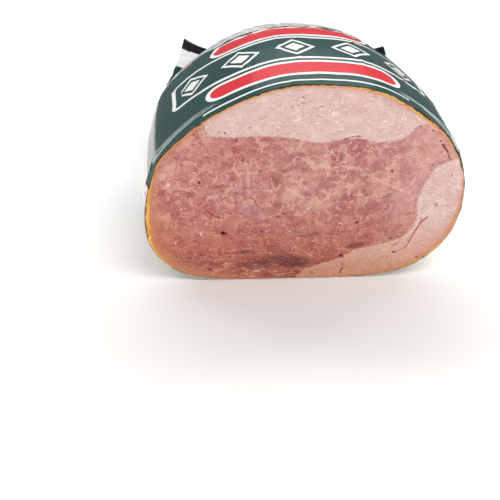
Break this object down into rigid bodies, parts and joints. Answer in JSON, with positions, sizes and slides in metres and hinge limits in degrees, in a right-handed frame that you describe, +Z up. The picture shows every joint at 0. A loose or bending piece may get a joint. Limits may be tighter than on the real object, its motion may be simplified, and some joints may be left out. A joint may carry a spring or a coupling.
{
  "type": "half cooked ham loaf in printed film bag",
  "caption": "Half of a cooked ham loaf standing on its flattened underside: a flat oval cut with coarse meat and pale muscle, inside a tight printed film bag with a sealed flap behind.",
  "frame": {"origin": "on the surface it rests on, under the middle of its box", "axes": "+Z up; the cut faces -Y and the bag's sealed flap points to +Y; +X is to the right of someone who looks at the cut"},
  "size_m": [0.1861, 0.2, 0.122],
  "materials": {
    "coarse_meat": "moist coarse ham",
    "pale_meat": "moist pale muscle",
    "printed_film": "glossy printed shrink film"
  },
  "bodies": {
    "root": {"coarse_meat": "coarse_meat", "pale_meat_top": "pale_meat", "pale_meat_side": "pale_meat", "film_bag": "printed_film"}
  },
  "joints": []
}
